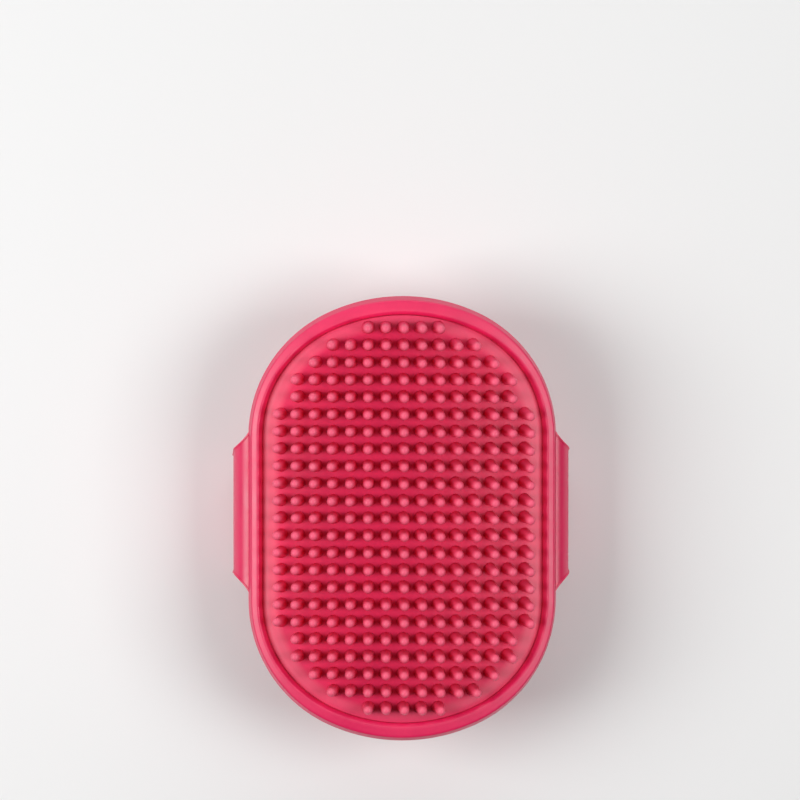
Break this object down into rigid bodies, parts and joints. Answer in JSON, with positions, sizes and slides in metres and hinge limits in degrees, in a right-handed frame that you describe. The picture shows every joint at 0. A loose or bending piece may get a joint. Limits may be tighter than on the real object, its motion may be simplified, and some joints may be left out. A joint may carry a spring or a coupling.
{
  "type": "pet grooming bristle brush",
  "caption": "Oval rubber palm brush for bathing pets, with short round pins and a buttoned strap ring for the hand.",
  "frame": {"origin": "centre of the bounding box's bottom: under the middle of the oval, on the table that the strap ring lies on", "axes": "+Z out of the pins, +Y along the oval, +X to the side that the long strap leaves"},
  "size_m": [0.0996, 0.13, 0.0509],
  "materials": {
    "pad_rubber": "satin moulded rubber",
    "frame_rubber": "satin moulded rubber",
    "strap_rubber": "satin moulded rubber",
    "stud_rubber": "satin moulded rubber"
  },
  "bodies": {
    "head": {"bristle_pad": "pad_rubber", "rim_frame": "frame_rubber", "back_plate": "frame_rubber"},
    "long_leg": {"long_strap_leg": "strap_rubber"},
    "long_band": {"long_strap_band": "strap_rubber"},
    "short_leg": {"short_strap_leg": "strap_rubber"},
    "short_band": {"short_strap_band": "strap_rubber", "press_studs": "stud_rubber"}
  },
  "joints": [
    {"name": "long_strap_fold", "type": "hinge", "parent": "head", "child": "long_leg", "pos_m": [0.04708, 0, 0.03338], "axis": [0, -1, 0], "range_deg": [0, 90]},
    {"name": "long_strap_corner", "type": "hinge", "parent": "long_leg", "child": "long_band", "pos_m": [0.04585, 0, 0.00395], "axis": [0, -1, 0], "range_deg": [0, 90]},
    {"name": "short_strap_fold", "type": "hinge", "parent": "head", "child": "short_leg", "pos_m": [-0.04708, 0, 0.03338], "axis": [0, 1, 0], "range_deg": [0, 90]},
    {"name": "short_strap_corner", "type": "hinge", "parent": "short_leg", "child": "short_band", "pos_m": [-0.04585, 0, 0.00625], "axis": [0, 1, 0], "range_deg": [0, 90]}
  ],
  "couplings": [
    {"joint": "long_strap_corner", "follows": "long_strap_fold", "ratio": 1},
    {"joint": "short_strap_fold", "follows": "long_strap_fold", "ratio": 1},
    {"joint": "short_strap_corner", "follows": "long_strap_fold", "ratio": 1}
  ]
}
